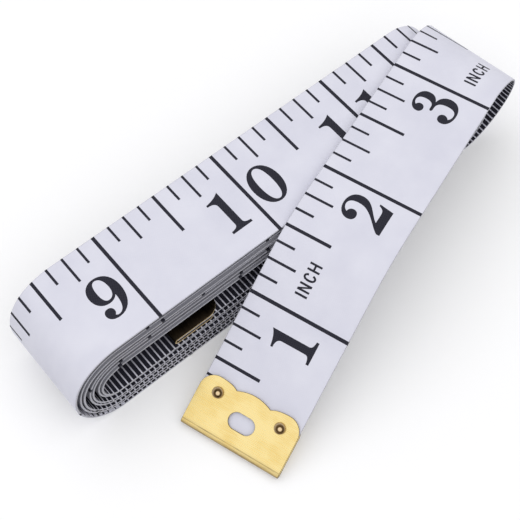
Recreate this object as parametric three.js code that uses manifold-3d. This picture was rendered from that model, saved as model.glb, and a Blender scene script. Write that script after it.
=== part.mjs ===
// Cloth tape measure, rolled flat, with its free end folded back over the roll and sloping down to
// the table. A folded brass clip is riveted to each end. Millimetres, +Z up, +X along the roll.

import * as THREE from 'three';
import { mergeVertices } from 'three/addons/utils/BufferGeometryUtils.js';
import Module from 'manifold-3d';

// Coated cloth tape.
const tapeWidth = 19;
const tapeThickness = 0.4;

// Roll: each turn is a bottom run, a left bend of two arcs, a top run and a round right bend.
const turnCount = 7;
const turnGap = 0.48;
const bottomRun = 78.58;
const coreOpening = 5.6;
const coreBendRadius = 3;
const shoulderRadius = 12;
const rollLean = 2;
const innerRun = 66.2;
const innerSeatGap = 0.35;

// Free end: it leaves the bottom run, folds round the right end and lies across the roll.
const freeLength = 113.4;
const freeEndAngle = THREE.MathUtils.degToRad(18.6);
const freeEndRise = 2;
const foldOffset = 0.3;
const foldSlip = 2;
const foldSegments = 2;
const segmentGap = 0.4;
const droopRadius = 30;
const droopLead = 8.5;
const tableGap = 0.05;

// Folded brass clip and its two rivets.
const clipWall = 0.3;
const clipClearance = 0.2;
const clipWidth = 19.2;
const clipReach = 10.2;
const clipCornerRadius = 2.8;
const clipNotchDepth = 0.75;
const clipNotchSpacing = 6.6;
const clipHoleLength = 4.9;
const clipHoleWidth = 3;
const clipHoleReach = 5;
const rivetEndMargin = 2.6;
const rivetSideMargin = 3.5;
const rivetShankRadius = 0.6;
const rivetHeadRadius = 1;
const rivetHeadHeight = 0.25;
const rivetHoleClearance = 0.2;
const rivetSeatGap = 0.1;

// Steps along the bends and the long runs.
const rightBendSteps = 12;
const heelSteps = 8;
const shoulderSteps = 4;
const runSteps = 4;
const foldSteps = 4;
const droopSteps = 4;
const roundSteps = 16;

const tapeMaterial = () => new THREE.MeshStandardMaterial({ color: 0xdcdce8, roughness: 0.5, metalness: 0 });
const brassMaterial = () => new THREE.MeshStandardMaterial({ color: 0xe8c873, roughness: 0.3, metalness: 1 });

const wasm = await Module();
wasm.setup();

// Sizes that follow from those above.
const turnPitch = tapeThickness + turnGap;
const rollHeight = (2 * turnCount - 1) * turnPitch + coreOpening;
const heelRadius = coreBendRadius + (turnCount - 1) * turnPitch;
const bendGrowth = shoulderRadius - heelRadius;
const shoulderLift = Math.asin((shoulderRadius + heelRadius - rollHeight) / bendGrowth);
const heelCentre = new THREE.Vector2(-bottomRun, heelRadius);
const shoulderCentre = new THREE.Vector2(
  heelCentre.x + bendGrowth * Math.cos(shoulderLift),
  heelCentre.y - bendGrowth * Math.sin(shoulderLift),
);
const foldSkew = freeEndAngle / 2;
const foldRadius = (rollHeight + freeEndRise) / 2;
const foldLength = Math.PI * foldRadius;
const hingeStep = foldLength / (foldSegments + 1);
const clipInner = tapeThickness / 2 + clipClearance;
const clipOuter = clipInner + clipWall;
const rivetReach = clipReach - rivetEndMargin;
const rivetSpacing = clipWidth - 2 * rivetSideMargin;
const rivetSeat = clipOuter + rivetSeatGap;
const rivetTop = rivetSeat + rivetHeadHeight;
const innerRunRise = rivetTop + innerSeatGap - turnPitch + tapeThickness / 2;

// The turns lean: the bottom of the roll reaches further to the near side than its top.
const leanAt = (z) => -rollLean * (1 - z / rollHeight);

// Path of the winding in the XZ plane, from the right end of the bottom run inwards.
// Each station holds a point and the normal that faces away from the core.
function windingStations() {
  const stations = [];
  let length = 0;
  const add = (x, z, nx, nz) => stations.push({ x, z, nx, nz });
  const straight = (x0, z0, x1, z1, nz) => {
    for (let i = 0; i < runSteps; i++) {
      const f = i / runSteps;
      add(x0 + (x1 - x0) * f, z0 + (z1 - z0) * f, 0, nz);
    }
    length += Math.hypot(x1 - x0, z1 - z0);
  };
  const bend = (centre, r0, r1, a0, a1, steps) => {
    for (let i = 0; i < steps; i++) {
      const angle = a0 + ((a1 - a0) * i) / steps;
      const radius = r0 + ((r1 - r0) * i) / steps;
      const nx = Math.cos(angle);
      const nz = Math.sin(angle);
      add(centre.x + radius * nx, centre.y + radius * nz, nx, nz);
    }
    length += (Math.abs(a1 - a0) * (r0 + r1)) / 2;
  };
  const rightCentre = new THREE.Vector2(0, rollHeight / 2);
  const junction = -Math.PI - shoulderLift;
  for (let turn = 0; turn < turnCount; turn++) {
    const inset = turn * turnPitch;
    const heel = heelRadius - inset;
    const shoulder = shoulderRadius - inset;
    straight(0, inset, heelCentre.x, inset, -1);
    bend(heelCentre, heel, heel, -Math.PI / 2, junction, heelSteps);
    bend(shoulderCentre, shoulder, shoulder, junction, -1.5 * Math.PI, shoulderSteps);
    straight(shoulderCentre.x, rollHeight - inset, 0, rollHeight - inset, 1);
    const right = rollHeight / 2 - inset;
    bend(rightCentre, right, right - turnPitch, Math.PI / 2, -Math.PI / 2, rightBendSteps);
  }
  const innerLevel = turnCount * turnPitch;
  straight(0, innerLevel, -innerRun, innerLevel + innerRunRise, -1);
  add(-innerRun, innerLevel + innerRunRise, 0, -1);
  return { stations, length };
}

// Least clear gap between the winding and its own neighbouring turns.
function leastGap(stations) {
  const point = new THREE.Vector3();
  const nearest = new THREE.Vector3();
  const line = new THREE.Line3();
  const halfTurn = (rightBendSteps + heelSteps + shoulderSteps) / 2 + runSteps;
  let least = Infinity;
  stations.forEach((station, i) => {
    point.set(station.x, 0, station.z);
    for (let j = i + halfTurn; j + 1 < stations.length; j++) {
      line.start.set(stations[j].x, 0, stations[j].z);
      line.end.set(stations[j + 1].x, 0, stations[j + 1].z);
      line.closestPointToPoint(point, true, nearest);
      least = Math.min(least, nearest.distanceTo(point));
    }
  });
  return least - tapeThickness;
}

// A row is a straight line across the tape: its far end, its near end and the outward normal.
function windingRow(station) {
  const y = leanAt(station.z);
  return {
    far: new THREE.Vector3(station.x, y, station.z),
    near: new THREE.Vector3(station.x, y - tapeWidth, station.z),
    normal: new THREE.Vector3(station.nx, 0, station.nz),
  };
}

// The fold is wrapped on a cylinder whose axis is skewed by half the free end's angle, and the tape
// slips a little along that axis on its way up.
const foldAxis = new THREE.Vector3(-Math.sin(foldSkew), Math.cos(foldSkew), 0);
const foldOut = new THREE.Vector3(Math.cos(foldSkew), Math.sin(foldSkew), 0);
const foldOrigin = new THREE.Vector3(foldOffset, leanAt(0), 0);

function foldRow(distance) {
  const angle = Math.min(distance / foldRadius, Math.PI);
  const normal = foldOut.clone().multiplyScalar(Math.sin(angle));
  normal.z = -Math.cos(angle);
  const base = foldOrigin.clone().addScaledVector(normal, foldRadius);
  base.z += foldRadius;
  const shift = distance * (foldSlip / foldLength - Math.tan(foldSkew));
  const far = base.clone().addScaledVector(foldAxis, shift);
  const near = far.clone().addScaledVector(foldAxis, -tapeWidth / Math.cos(foldSkew));
  return { far, near, normal };
}

// The free end runs back over the roll, bends down past the roll's near edge and slopes to the table.
const outward = new THREE.Vector3(-Math.cos(freeEndAngle), -Math.sin(freeEndAngle), 0);
const nearward = new THREE.Vector3(Math.sin(freeEndAngle), -Math.cos(freeEndAngle), 0);
const foldTop = foldRow(foldLength).far;
const foldTopReach = freeLength - foldOffset - foldLength / Math.cos(foldSkew);
const edgeReach = foldTopReach - (foldTop.y + tapeWidth) / Math.sin(freeEndAngle);
const droopStart = edgeReach + droopLead;
const droopAngle = solveDroop(foldTop.z - clipOuter - tableGap, droopStart - clipOuter);
const droopHinge = droopStart - (droopRadius * droopAngle) / 2;

function solveDroop(drop, length) {
  let low = 0;
  let high = Math.PI / 2;
  for (let i = 0; i < 50; i++) {
    const angle = (low + high) / 2;
    const fall = droopRadius * (1 - Math.cos(angle)) + (length - droopRadius * angle) * Math.sin(angle);
    if (fall < drop) low = angle;
    else high = angle;
  }
  return low;
}

function freeRow(reach) {
  const past = Math.max(droopStart - reach, 0);
  const angle = Math.min(past / droopRadius, droopAngle);
  const slope = past - droopRadius * angle;
  const flat = foldTopReach - Math.max(reach, droopStart);
  const run = flat + droopRadius * Math.sin(angle) + slope * Math.cos(angle);
  const far = foldTop.clone().addScaledVector(outward, run);
  far.z -= droopRadius * (1 - Math.cos(angle)) + slope * Math.sin(angle);
  const near = far.clone().addScaledVector(nearward, tapeWidth);
  const normal = outward.clone().multiplyScalar(Math.sin(angle));
  normal.z = Math.cos(angle);
  return { far, near, normal };
}

const rowsBetween = (row, from, to, steps) =>
  Array.from({ length: steps + 1 }, (_, i) => row(from + ((to - from) * i) / steps));

// Closed ribbon of the tape's thickness through rows that run from the zero end inwards.
function ribbon(rows) {
  const half = tapeThickness / 2;
  const positions = [];
  const index = [];
  for (const { far, near, normal } of rows) {
    for (const [point, side] of [[far, half], [near, half], [near, -half], [far, -half]]) {
      positions.push(...point.clone().addScaledVector(normal, side).toArray());
    }
  }
  for (let row = 0; row + 1 < rows.length; row++) {
    for (let corner = 0; corner < 4; corner++) {
      const a = row * 4 + corner;
      const b = row * 4 + ((corner + 1) % 4);
      index.push(a, b, b + 4, a, b + 4, a + 4);
    }
  }
  const last = (rows.length - 1) * 4;
  index.push(0, 2, 1, 0, 3, 2, last, last + 1, last + 2, last, last + 2, last + 3);
  const geometry = new THREE.BufferGeometry();
  geometry.setAttribute('position', new THREE.Float32BufferAttribute(positions, 3));
  geometry.setIndex(index);
  return geometry;
}

function toSolid(geometry) {
  const bare = geometry.clone();
  bare.deleteAttribute('normal');
  bare.deleteAttribute('uv');
  const merged = mergeVertices(bare, 1e-4);
  const vertProperties = new Float32Array(merged.attributes.position.array);
  const triVerts = new Uint32Array(merged.index.array);
  return new wasm.Manifold(new wasm.Mesh({ numProp: 3, vertProperties, triVerts }));
}

function toGeometry(solid) {
  const mesh = solid.getMesh();
  const geometry = new THREE.BufferGeometry();
  geometry.setAttribute('position', new THREE.BufferAttribute(mesh.vertProperties, 3));
  geometry.setIndex(new THREE.BufferAttribute(mesh.triVerts, 1));
  return geometry;
}

// Clip frame: x from the fold's outer end along the tape, y across it, z away from the tape.
function clipPlacement(row, inward, up) {
  const along = inward.clone().normalize();
  const across = up.clone().cross(along).normalize();
  const matrix = new THREE.Matrix4().makeBasis(along, across, along.clone().cross(across));
  const centre = row.far.clone().add(row.near).multiplyScalar(0.5).addScaledVector(along, -clipOuter);
  return matrix.setPosition(centre);
}

// Plan outline of the clip: round outer corners and three lobes parted by two small notches.
function clipOutline() {
  const half = clipWidth / 2;
  const notch = clipNotchSpacing / 2;
  const notchReach = clipReach - clipNotchDepth;
  const straightEnd = clipReach - clipCornerRadius;
  const outline = new THREE.Shape();
  outline.moveTo(-clipOuter, -half);
  outline.lineTo(straightEnd, -half);
  outline.absarc(straightEnd, clipCornerRadius - half, clipCornerRadius, -Math.PI / 2, 0);
  outline.quadraticCurveTo(clipReach, -notch, notchReach, -notch);
  outline.quadraticCurveTo(clipReach + clipNotchDepth, 0, notchReach, notch);
  outline.quadraticCurveTo(clipReach, notch, clipReach, half - clipCornerRadius);
  outline.absarc(straightEnd, half - clipCornerRadius, clipCornerRadius, 0, Math.PI / 2);
  outline.lineTo(-clipOuter, half);
  return outline;
}

// Side profile of the folded sheet.
function clipProfile() {
  const end = clipReach + clipNotchDepth;
  const profile = new THREE.Shape();
  profile.moveTo(end, clipOuter);
  profile.absarc(clipOuter, 0, clipOuter, Math.PI / 2, 1.5 * Math.PI);
  profile.lineTo(end, -clipOuter);
  profile.lineTo(end, -clipInner);
  profile.absarc(clipOuter, 0, clipInner, 1.5 * Math.PI, Math.PI / 2, true);
  profile.lineTo(end, clipInner);
  return profile;
}

function clipHole() {
  const round = clipHoleWidth / 2;
  const side = (clipHoleLength - clipHoleWidth) / 2;
  const hole = new THREE.Shape();
  hole.absarc(clipHoleReach, side, round, 0, Math.PI);
  hole.absarc(clipHoleReach, -side, round, Math.PI, 2 * Math.PI);
  return hole;
}

const throughDepth = 4 * clipOuter;

function throughPrism(shape) {
  const prism = new THREE.ExtrudeGeometry(shape, {
    depth: throughDepth, bevelEnabled: false, curveSegments: 8,
  });
  return toSolid(prism.translate(0, 0, -throughDepth / 2));
}

function rivetPlaces() {
  return [-rivetSpacing / 2, rivetSpacing / 2].map((across) => new THREE.Vector3(rivetReach, across, 0));
}

function rivetHole(place) {
  const radius = rivetShankRadius + rivetHoleClearance;
  const hole = new THREE.CylinderGeometry(radius, radius, throughDepth, roundSteps);
  return toSolid(hole.rotateX(Math.PI / 2).translate(place.x, place.y, place.z));
}

function clipGeometry() {
  const sheet = new THREE.ExtrudeGeometry(clipProfile(), {
    depth: clipWidth, bevelEnabled: false, curveSegments: 6,
  });
  let clip = toSolid(sheet.rotateX(Math.PI / 2).translate(0, clipWidth / 2, 0));
  clip = clip.intersect(throughPrism(clipOutline())).subtract(throughPrism(clipHole()));
  for (const place of rivetPlaces()) clip = clip.subtract(rivetHole(place));
  return toGeometry(clip);
}

// A rivet has a low round head on each side of the clip.
function rivetGeometry() {
  const shoulder = rivetHeadHeight / 2;
  const half = [
    new THREE.Vector2(rivetShankRadius, rivetSeat),
    new THREE.Vector2(rivetHeadRadius, rivetSeat),
    new THREE.Vector2(rivetHeadRadius, rivetSeat + shoulder),
    new THREE.Vector2(rivetHeadRadius - shoulder, rivetTop),
    new THREE.Vector2(0, rivetTop),
  ];
  const lower = half.map((point) => new THREE.Vector2(point.x, -point.y)).reverse();
  const profile = new THREE.LatheGeometry([...lower, ...half], roundSteps);
  profile.deleteAttribute('normal');
  profile.deleteAttribute('uv');
  return mergeVertices(profile.rotateX(Math.PI / 2), 1e-4);
}

// Rivet holes through the tape under a clip.
function punched(geometry, placement) {
  let solid = toSolid(geometry);
  for (const place of rivetPlaces()) {
    solid = solid.subtract(rivetHole(place).transform(placement.toArray()));
  }
  return toGeometry(solid);
}

const roll = new THREE.Group();

function addMesh(name, geometry, material, placement = new THREE.Matrix4()) {
  geometry.computeVertexNormals();
  const mesh = new THREE.Mesh(geometry, material);
  mesh.name = name;
  placement.decompose(mesh.position, mesh.quaternion, mesh.scale);
  roll.add(mesh);
}

function addClip(name, placement) {
  addMesh(`${name}_clip`, clipGeometry(), brassMaterial(), placement);
  rivetPlaces().forEach((place, i) => {
    const seat = placement.clone().multiply(new THREE.Matrix4().setPosition(place));
    addMesh(`${name}_rivet_${i + 1}`, rivetGeometry(), brassMaterial(), seat);
  });
}

// Winding, with the first part of the fold on its outer end and a clip on its inner end.
const { stations, length: windingLength } = windingStations();
const outerRows = rowsBetween(foldRow, (hingeStep - segmentGap) / 2, 0, foldSteps);
const windingRows = [...outerRows, ...stations.map(windingRow)];
const innerEnd = windingRows.at(-1);
const innerInward = windingRows.at(-2).far.clone().sub(innerEnd.far);
const innerPlacement = clipPlacement(innerEnd, innerInward, innerEnd.normal.clone().negate());
addMesh('tape_winding', punched(ribbon(windingRows), innerPlacement), tapeMaterial());
addClip('inner_end', innerPlacement);

// Segments of the fold, from the bottom run upwards.
const hinges = [];
for (let segment = 1; segment <= foldSegments; segment++) {
  const from = (segment - 0.5) * hingeStep + segmentGap / 2;
  const to = (segment + 0.5) * hingeStep - segmentGap / 2;
  const rows = rowsBetween(foldRow, to, from, 2 * foldSteps);
  addMesh(`tape_fold_${segment}`, ribbon(rows), tapeMaterial());
}
for (let hinge = 0; hinge <= foldSegments; hinge++) {
  hinges.push({ row: foldRow((hinge + 0.5) * hingeStep), axis: foldAxis });
}

// Free end over the roll, and the sloping tip with its clip.
const arcEnd = droopStart - droopRadius * droopAngle;
const freeRows = [
  ...rowsBetween(freeRow, droopHinge + segmentGap / 2, droopStart, droopSteps),
  ...rowsBetween(foldRow, foldLength, foldLength - (hingeStep - segmentGap) / 2, foldSteps),
];
addMesh('tape_free_end', ribbon(freeRows), tapeMaterial());

const tipRows = [
  freeRow(clipOuter),
  ...rowsBetween(freeRow, arcEnd, droopHinge - segmentGap / 2, droopSteps),
];
const tipInward = tipRows[1].far.clone().sub(tipRows[0].far);
const tipPlacement = clipPlacement(tipRows[0], tipInward, tipRows[0].normal);
addMesh('tape_tip', punched(ribbon(tipRows), tipPlacement), tapeMaterial());
addClip('zero_end', tipPlacement);
hinges.push({ row: freeRow(droopHinge), axis: nearward.clone().negate() });

// The origin is under the middle of the whole object.
const box = new THREE.Box3().setFromObject(roll, true);
const middle = box.getCenter(new THREE.Vector3());
roll.position.set(-middle.x, -middle.y, -box.min.z);
const part = new THREE.Group();
part.add(roll);
part.updateMatrixWorld(true);

const rounded = (vector) => vector.toArray().map((value) => value.toFixed(3)).join(' ');
console.log('tape length', (windingLength + freeLength).toFixed(2));
console.log('least gap of the winding to itself', leastGap(stations).toFixed(3));
console.log('roll height', rollHeight.toFixed(3));
console.log('droop angle', THREE.MathUtils.radToDeg(droopAngle).toFixed(3));
console.log('size', rounded(box.getSize(new THREE.Vector3())), 'shift', rounded(roll.position));
for (const { row, axis } of hinges) {
  const centre = row.far.clone().add(row.near).multiplyScalar(0.5).add(roll.position);
  console.log('hinge at', rounded(centre), 'along', rounded(axis));
}

export default part;
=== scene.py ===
# Cloth tape measure: a flat roll, its free end folded back over it, a brass clip on each end.
import math
from bisect import bisect_right

import bmesh
import bpy
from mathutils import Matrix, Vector
from mathutils.geometry import tessellate_polygon


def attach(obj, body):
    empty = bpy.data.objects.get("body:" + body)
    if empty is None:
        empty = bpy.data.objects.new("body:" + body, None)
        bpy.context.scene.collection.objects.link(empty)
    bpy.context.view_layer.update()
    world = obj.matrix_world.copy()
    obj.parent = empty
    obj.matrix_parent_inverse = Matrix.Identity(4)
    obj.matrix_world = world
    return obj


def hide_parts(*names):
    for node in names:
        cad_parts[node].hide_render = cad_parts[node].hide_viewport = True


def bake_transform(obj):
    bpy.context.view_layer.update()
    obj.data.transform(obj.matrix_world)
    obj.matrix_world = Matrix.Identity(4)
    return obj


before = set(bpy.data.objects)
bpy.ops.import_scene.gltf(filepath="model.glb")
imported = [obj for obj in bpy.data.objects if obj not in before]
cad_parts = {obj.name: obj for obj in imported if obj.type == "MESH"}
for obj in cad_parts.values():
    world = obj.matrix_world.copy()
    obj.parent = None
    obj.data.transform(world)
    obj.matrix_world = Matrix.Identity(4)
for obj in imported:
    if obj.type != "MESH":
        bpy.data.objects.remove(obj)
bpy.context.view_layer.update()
scene = bpy.context.scene
mm = 0.001
inch = 25.4
cm = 10.0


# camera: the photograph's angle, picture taken as 520 x 520
camera = {"focalPixels": 1166.0, "picture": 520, "azimuth": -39.84, "elevation": 62.0,
          "distance": 213.7, "target": (-6.26, 9.74, 0.0), "sensor": 36.0, "clipRange": (0.01, 20.0)}


def buildCamera():
    data = bpy.data.cameras.new("photoCamera")
    data.sensor_width = camera["sensor"]
    data.lens = camera["focalPixels"] / camera["picture"] * data.sensor_width
    data.clip_start, data.clip_end = camera["clipRange"]
    a, e = math.radians(camera["azimuth"]), math.radians(camera["elevation"])
    back = Vector((math.sin(a) * math.cos(e), -math.cos(a) * math.cos(e), math.sin(e)))
    holder = bpy.data.objects.new("photoCamera", data)
    holder.location = (Vector(camera["target"]) + back * camera["distance"]) * mm
    holder.rotation_euler = (-back).to_track_quat("-Z", "Y").to_euler()
    scene.collection.objects.link(holder)
    scene.camera = holder


buildCamera()
print("camera set")


# the tape's path, in millimetres, as the solids have it
tape = {"width": 19.0, "thick": 0.4, "edgeRound": 0.1}
roll = {"turns": 7, "gap": 0.48, "bottomRun": 78.58, "coreOpening": 5.6, "coreBend": 3.0,
        "shoulder": 12.0, "lean": 2.0, "innerRun": 66.2, "innerRise": 0.72}
freeEnd = {"length": 113.4, "angle": 18.6, "rise": 2.0, "foldOffset": 0.3, "slip": 2.0, "hinges": 3,
           "droopRadius": 30.0, "droopLead": 8.5, "tableGap": 0.05}
clip = {"wall": 0.3, "clearance": 0.2, "width": 19.2, "reach": 10.2, "corner": 2.8,
        "notchDepth": 0.75, "notchSpacing": 6.6, "holeLength": 4.9, "holeWidth": 3.0,
        "holeReach": 5.0, "bevel": 0.07}
frameShift = Vector((36.9, 24.008, 0.2))

width = tape["width"]
half = tape["thick"] / 2
pitch = tape["thick"] + roll["gap"]
rollHeight = (2 * roll["turns"] - 1) * pitch + roll["coreOpening"]
heel = roll["coreBend"] + (roll["turns"] - 1) * pitch
growth = roll["shoulder"] - heel
lift = math.asin((roll["shoulder"] + heel - rollHeight) / growth)
heelCentre = (-roll["bottomRun"], heel)
shoulderCentre = (heelCentre[0] + growth * math.cos(lift), heelCentre[1] - growth * math.sin(lift))
clipOuter = half + clip["clearance"] + clip["wall"]
clipInner = half + clip["clearance"]


def leanAt(z):
    return -roll["lean"] * (1 - z / rollHeight)


# the parts of one turn, in their order
turnParts = ("run", "heel", "shoulder", "run", "right")
perTurn = len(turnParts)


def windingParts():
    parts, length = [], 0.0

    def run(x0, z0, x1, z1, nz):
        nonlocal length
        far = math.hypot(x1 - x0, z1 - z0)
        parts.append(("run", length, far, (x0, z0, x1, z1, nz)))
        length += far

    def bend(centre, r0, r1, a0, a1):
        nonlocal length
        far = abs(a1 - a0) * (r0 + r1) / 2
        parts.append(("bend", length, far, (centre, r0, r1, a0, a1)))
        length += far

    junction = -math.pi - lift
    for turn in range(roll["turns"]):
        inset = turn * pitch
        right = rollHeight / 2 - inset
        run(0, inset, heelCentre[0], inset, -1)
        bend(heelCentre, heel - inset, heel - inset, -math.pi / 2, junction)
        bend(shoulderCentre, roll["shoulder"] - inset, roll["shoulder"] - inset, junction, -1.5 * math.pi)
        run(shoulderCentre[0], rollHeight - inset, 0, rollHeight - inset, 1)
        bend((0, rollHeight / 2), right, right - pitch, math.pi / 2, -math.pi / 2)
    level = roll["turns"] * pitch
    run(0, level, -roll["innerRun"], level + roll["innerRise"], -1)
    return parts, length


winding, windingLength = windingParts()
windingStarts = [part[1] for part in winding]
tapeLength = windingLength + freeEnd["length"]


# point of the winding's middle line and its outward normal, at a distance from the right end
def windingAt(distance):
    if distance <= 0:
        return -distance, 0.0, 0.0, -1.0
    kind, start, far, shape = winding[bisect_right(windingStarts, distance) - 1]
    f = min((distance - start) / far, 1.0)
    if kind == "run":
        x0, z0, x1, z1, nz = shape
        return x0 + (x1 - x0) * f, z0 + (z1 - z0) * f, 0.0, nz
    centre, r0, r1, a0, a1 = shape
    if r0 != r1:  # the bend tightens, so equal lengths aren't equal angles
        c = f * (r0 + r1) / 2
        f = (math.sqrt(r0 * r0 + 2 * (r1 - r0) * c) - r0) / (r1 - r0)
    angle, radius = a0 + (a1 - a0) * f, r0 + (r1 - r0) * f
    return (centre[0] + radius * math.cos(angle), centre[1] + radius * math.sin(angle),
            math.cos(angle), math.sin(angle))


endAngle = math.radians(freeEnd["angle"])
skew = endAngle / 2
foldRadius = (rollHeight + freeEnd["rise"]) / 2
foldLength = math.pi * foldRadius
foldStep = foldLength / freeEnd["hinges"]
foldAxis = Vector((-math.sin(skew), math.cos(skew), 0))
foldOut = Vector((math.cos(skew), math.sin(skew), 0))
foldOrigin = Vector((freeEnd["foldOffset"], leanAt(0), 0))
foldStart = freeEnd["length"] - freeEnd["foldOffset"]
outward = Vector((-math.cos(endAngle), -math.sin(endAngle), 0))
nearward = Vector((math.sin(endAngle), -math.cos(endAngle), 0))
upward = Vector((0, 0, 1))


def wrapAt(s, t):
    return (foldStart - s) * math.cos(skew) - t * math.sin(skew)


def foldPoint(u, v, h):
    angle = u / foldRadius
    normal = foldOut * math.sin(angle) - upward * math.cos(angle)
    return foldOrigin + upward * foldRadius + normal * (foldRadius + h) + foldAxis * v


foldTop = foldPoint(foldLength, freeEnd["slip"] - foldLength * math.tan(skew), 0)
foldTopReach = foldStart - foldLength / math.cos(skew)
droopStart = foldTopReach - (foldTop.y + width) / math.sin(endAngle) + freeEnd["droopLead"]


def solveDroop():
    drop, length = foldTop.z - clipOuter - freeEnd["tableGap"], droopStart - clipOuter
    low, high, radius = 0.0, math.pi / 2, freeEnd["droopRadius"]
    halvings = 50
    for _ in range(halvings):
        angle = (low + high) / 2
        fall = radius * (1 - math.cos(angle)) + (length - radius * angle) * math.sin(angle)
        low, high = (angle, high) if fall < drop else (low, angle)
    return low


droopAngle = solveDroop()
droopEnd = droopStart - freeEnd["droopRadius"] * droopAngle


looseness = {"pairing": 0.15, "pairPhase": -1.73, "wave": 0.04, "waveSpan": 19.7, "sideways": 0.22,
             "slow": (0.6, 61.0, 2.0), "quick": (0.4, 23.0), "firstTurn": 205.0, "easeIn": 60.0,
             "clipFit": 30.0, "easeOut": 40.0}


# the turns under the outer one lie in loose pairs, and a little to each side
def looseAt(distance):
    rise = min(max(distance - looseness["firstTurn"], 0.0) / looseness["easeIn"], 1.0)
    rise *= min(max(windingLength - distance - looseness["clipFit"], 0.0) / looseness["easeOut"], 1.0)
    turn = (bisect_right(windingStarts, max(distance, 0.0)) - 1) // perTurn
    part = (distance - windingStarts[perTurn * turn]) / windingStarts[perTurn]
    lifted = looseness["pairing"] * math.cos(math.pi * (turn + min(part, 1.0)) + looseness["pairPhase"])
    lifted += looseness["wave"] * math.sin(distance / looseness["waveSpan"])
    slow, slowSpan, slowPhase = looseness["slow"]
    quick, quickSpan = looseness["quick"]
    aside = slow * math.sin(distance / slowSpan + slowPhase) + quick * math.sin(distance / quickSpan)
    return rise * lifted, rise * looseness["sideways"] * aside


# s along the tape from its zero end, t across from the tick edge, h out of the inch face
def tapePoint(s, t, h):
    u = wrapAt(s, t)
    if u <= 0:
        x, z, nx, nz = windingAt(s - freeEnd["length"])
        lifted, aside = looseAt(s - freeEnd["length"])
        point = Vector((x + nx * (h + lifted), leanAt(z) - t + aside, z + nz * (h + lifted)))
    elif u < foldLength:
        v = -(foldStart - s) * math.sin(skew) - t * math.cos(skew) + freeEnd["slip"] * u / foldLength
        point = foldPoint(u, v, h)
    else:
        past = max(droopStart - s, 0.0)
        angle = min(past / freeEnd["droopRadius"], droopAngle)
        slope = past - freeEnd["droopRadius"] * angle
        along = foldTopReach - max(s, droopStart)
        along += freeEnd["droopRadius"] * math.sin(angle) + slope * math.cos(angle)
        fall = freeEnd["droopRadius"] * (1 - math.cos(angle)) + slope * math.sin(angle)
        point = foldTop + outward * along + nearward * t - upward * fall
        point += (outward * math.sin(angle) + upward * math.cos(angle)) * h
    return (point + frameShift) * mm


print("tape path:", round(tapeLength, 1), "mm long, droop", round(math.degrees(droopAngle), 2), "degrees")


# shader groups that more than one finish uses
def nodeGroup(name, inputs, outputs):
    group = bpy.data.node_groups.new(name, "ShaderNodeTree")
    for label, kind, value in inputs:
        socket = group.interface.new_socket(label, in_out="INPUT", socket_type=kind)
        if value is not None:
            socket.default_value = value
    for label, kind in outputs:
        group.interface.new_socket(label, in_out="OUTPUT", socket_type=kind)
    return group, group.nodes.new("NodeGroupInput"), group.nodes.new("NodeGroupOutput")


def mathNode(tree, operation, first, second=None, third=None):
    node = tree.nodes.new("ShaderNodeMath")
    node.operation = operation
    for slot, value in enumerate((first, second, third)):
        if value is None:
            continue
        if isinstance(value, (int, float)):
            node.inputs[slot].default_value = value
        else:
            tree.links.new(value, node.inputs[slot])
    return node.outputs[0]


def noiseNode(tree, place, scale, detail, rough):
    node = tree.nodes.new("ShaderNodeTexNoise")
    node.inputs["Scale"].default_value = scale
    node.inputs["Detail"].default_value = detail
    node.inputs["Roughness"].default_value = rough
    tree.links.new(place, node.inputs["Vector"])
    return node.outputs["Fac"]


def rampNode(tree, value, stops, colours):
    node = tree.nodes.new("ShaderNodeValToRGB")
    ramp = node.color_ramp
    while len(ramp.elements) < len(stops):
        ramp.elements.new(0.5)
    for element, at, colour in zip(ramp.elements, stops, colours):
        element.position = at
        element.color = (*colour, 1)
    tree.links.new(value, node.inputs["Fac"])
    return node.outputs["Color"]


def mixColour(tree, factor, first, second):
    node = tree.nodes.new("ShaderNodeMix")
    node.data_type = "RGBA"
    for name, value in (("Factor", factor), ("A", first), ("B", second)):
        socket = next(x for x in node.inputs if x.name == name and x.enabled)
        if isinstance(value, (int, float)):
            socket.default_value = value
        elif isinstance(value, tuple):
            socket.default_value = (*value, 1)
        else:
            tree.links.new(value, socket)
    return next(x for x in node.outputs if x.enabled)


def axesOf(tree, place):
    node = tree.nodes.new("ShaderNodeSeparateXYZ")
    tree.links.new(place, node.inputs[0])
    return node.outputs


def spanNode(tree, value, source=(0.0, 1.0), target=(0.0, 1.0)):
    node = tree.nodes.new("ShaderNodeMapRange")
    for label, level in zip(("From Min", "From Max", "To Min", "To Max"), (*source, *target)):
        node.inputs[label].default_value = level
    tree.links.new(value, node.inputs["Value"])
    return node.outputs["Result"]


def product(tree, first, *others):
    for other in others:
        first = mathNode(tree, "MULTIPLY", first, other)
    return first


# one where the value is zero, falling to nothing over the given width
def fadeNode(tree, value, wide):
    rest = mathNode(tree, "SUBTRACT", 1.0, mathNode(tree, "DIVIDE", value, wide))
    return mathNode(tree, "MAXIMUM", rest, 0.0)


# threads of the cloth, from the place on the flat tape in millimetres; noises are scale, detail, roughness
weaveValues = {"thread": 0.42, "slub": (1.6, 4.0, 0.6), "mottle": (0.11, 3.0, 0.55), "crossing": 0.35,
               "level": 0.5, "slubShare": 0.5}


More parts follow.
